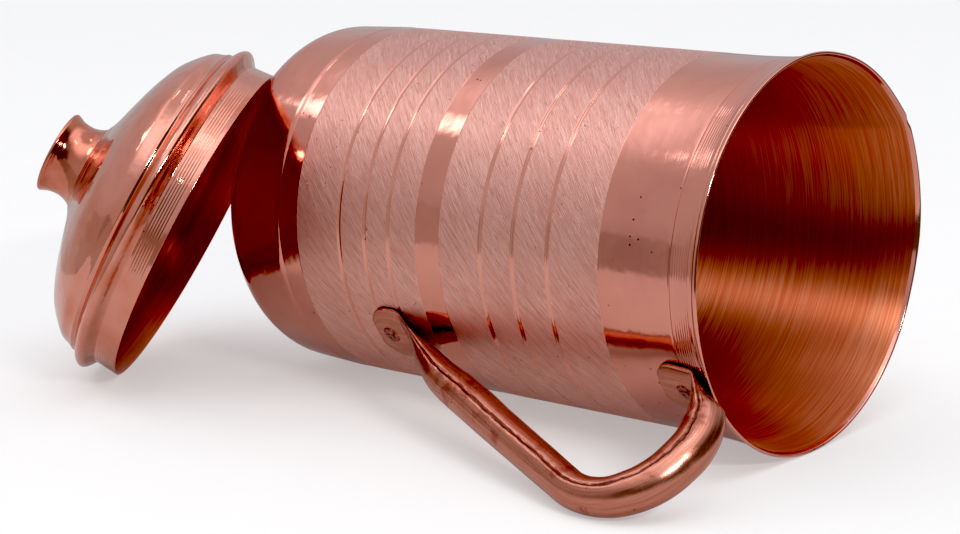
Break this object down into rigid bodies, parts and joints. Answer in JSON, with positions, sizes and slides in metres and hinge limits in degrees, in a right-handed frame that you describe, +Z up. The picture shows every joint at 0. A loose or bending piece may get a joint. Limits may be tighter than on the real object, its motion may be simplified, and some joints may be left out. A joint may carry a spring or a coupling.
{
  "type": "water jug",
  "caption": "Copper water jug lying on its side, with a riveted tube handle, a pinched pouring spout and a loose domed lid with a spool knob leaning on its base.",
  "frame": {"origin": "centre of the bottom of the whole set's box: the floor point under the middle of the lying jug and its lid", "axes": "+Z up from the floor the jug lies on, +X along the jug's length towards its mouth, -Y towards the handle"},
  "size_m": [0.2738, 0.1672, 0.1196],
  "materials": {
    "jug_copper": "turned copper: polished bands between hatch-brushed bands, with fine scratches and a few tarnish specks",
    "handle_copper": "hand-polished copper tube with fine lengthwise scratches and a closed seam",
    "lid_copper": "mirror-polished spun copper with fine turned rings",
    "rivet_copper": "hammered copper, darker in the recess round each head"
  },
  "bodies": {
    "jug": {"jug_body": "jug_copper", "handle": "handle_copper", "lower_rivet": "rivet_copper", "upper_rivet": "rivet_copper"},
    "lid": {"lid_shell": "lid_copper", "lid_knob": "lid_copper", "knob_rivet": "rivet_copper"}
  },
  "joints": [
    {"name": "lid_away", "type": "slide", "parent": "jug", "child": "lid", "axis": [-1, 0, 0], "range_m": [0, 0.12]}
  ]
}
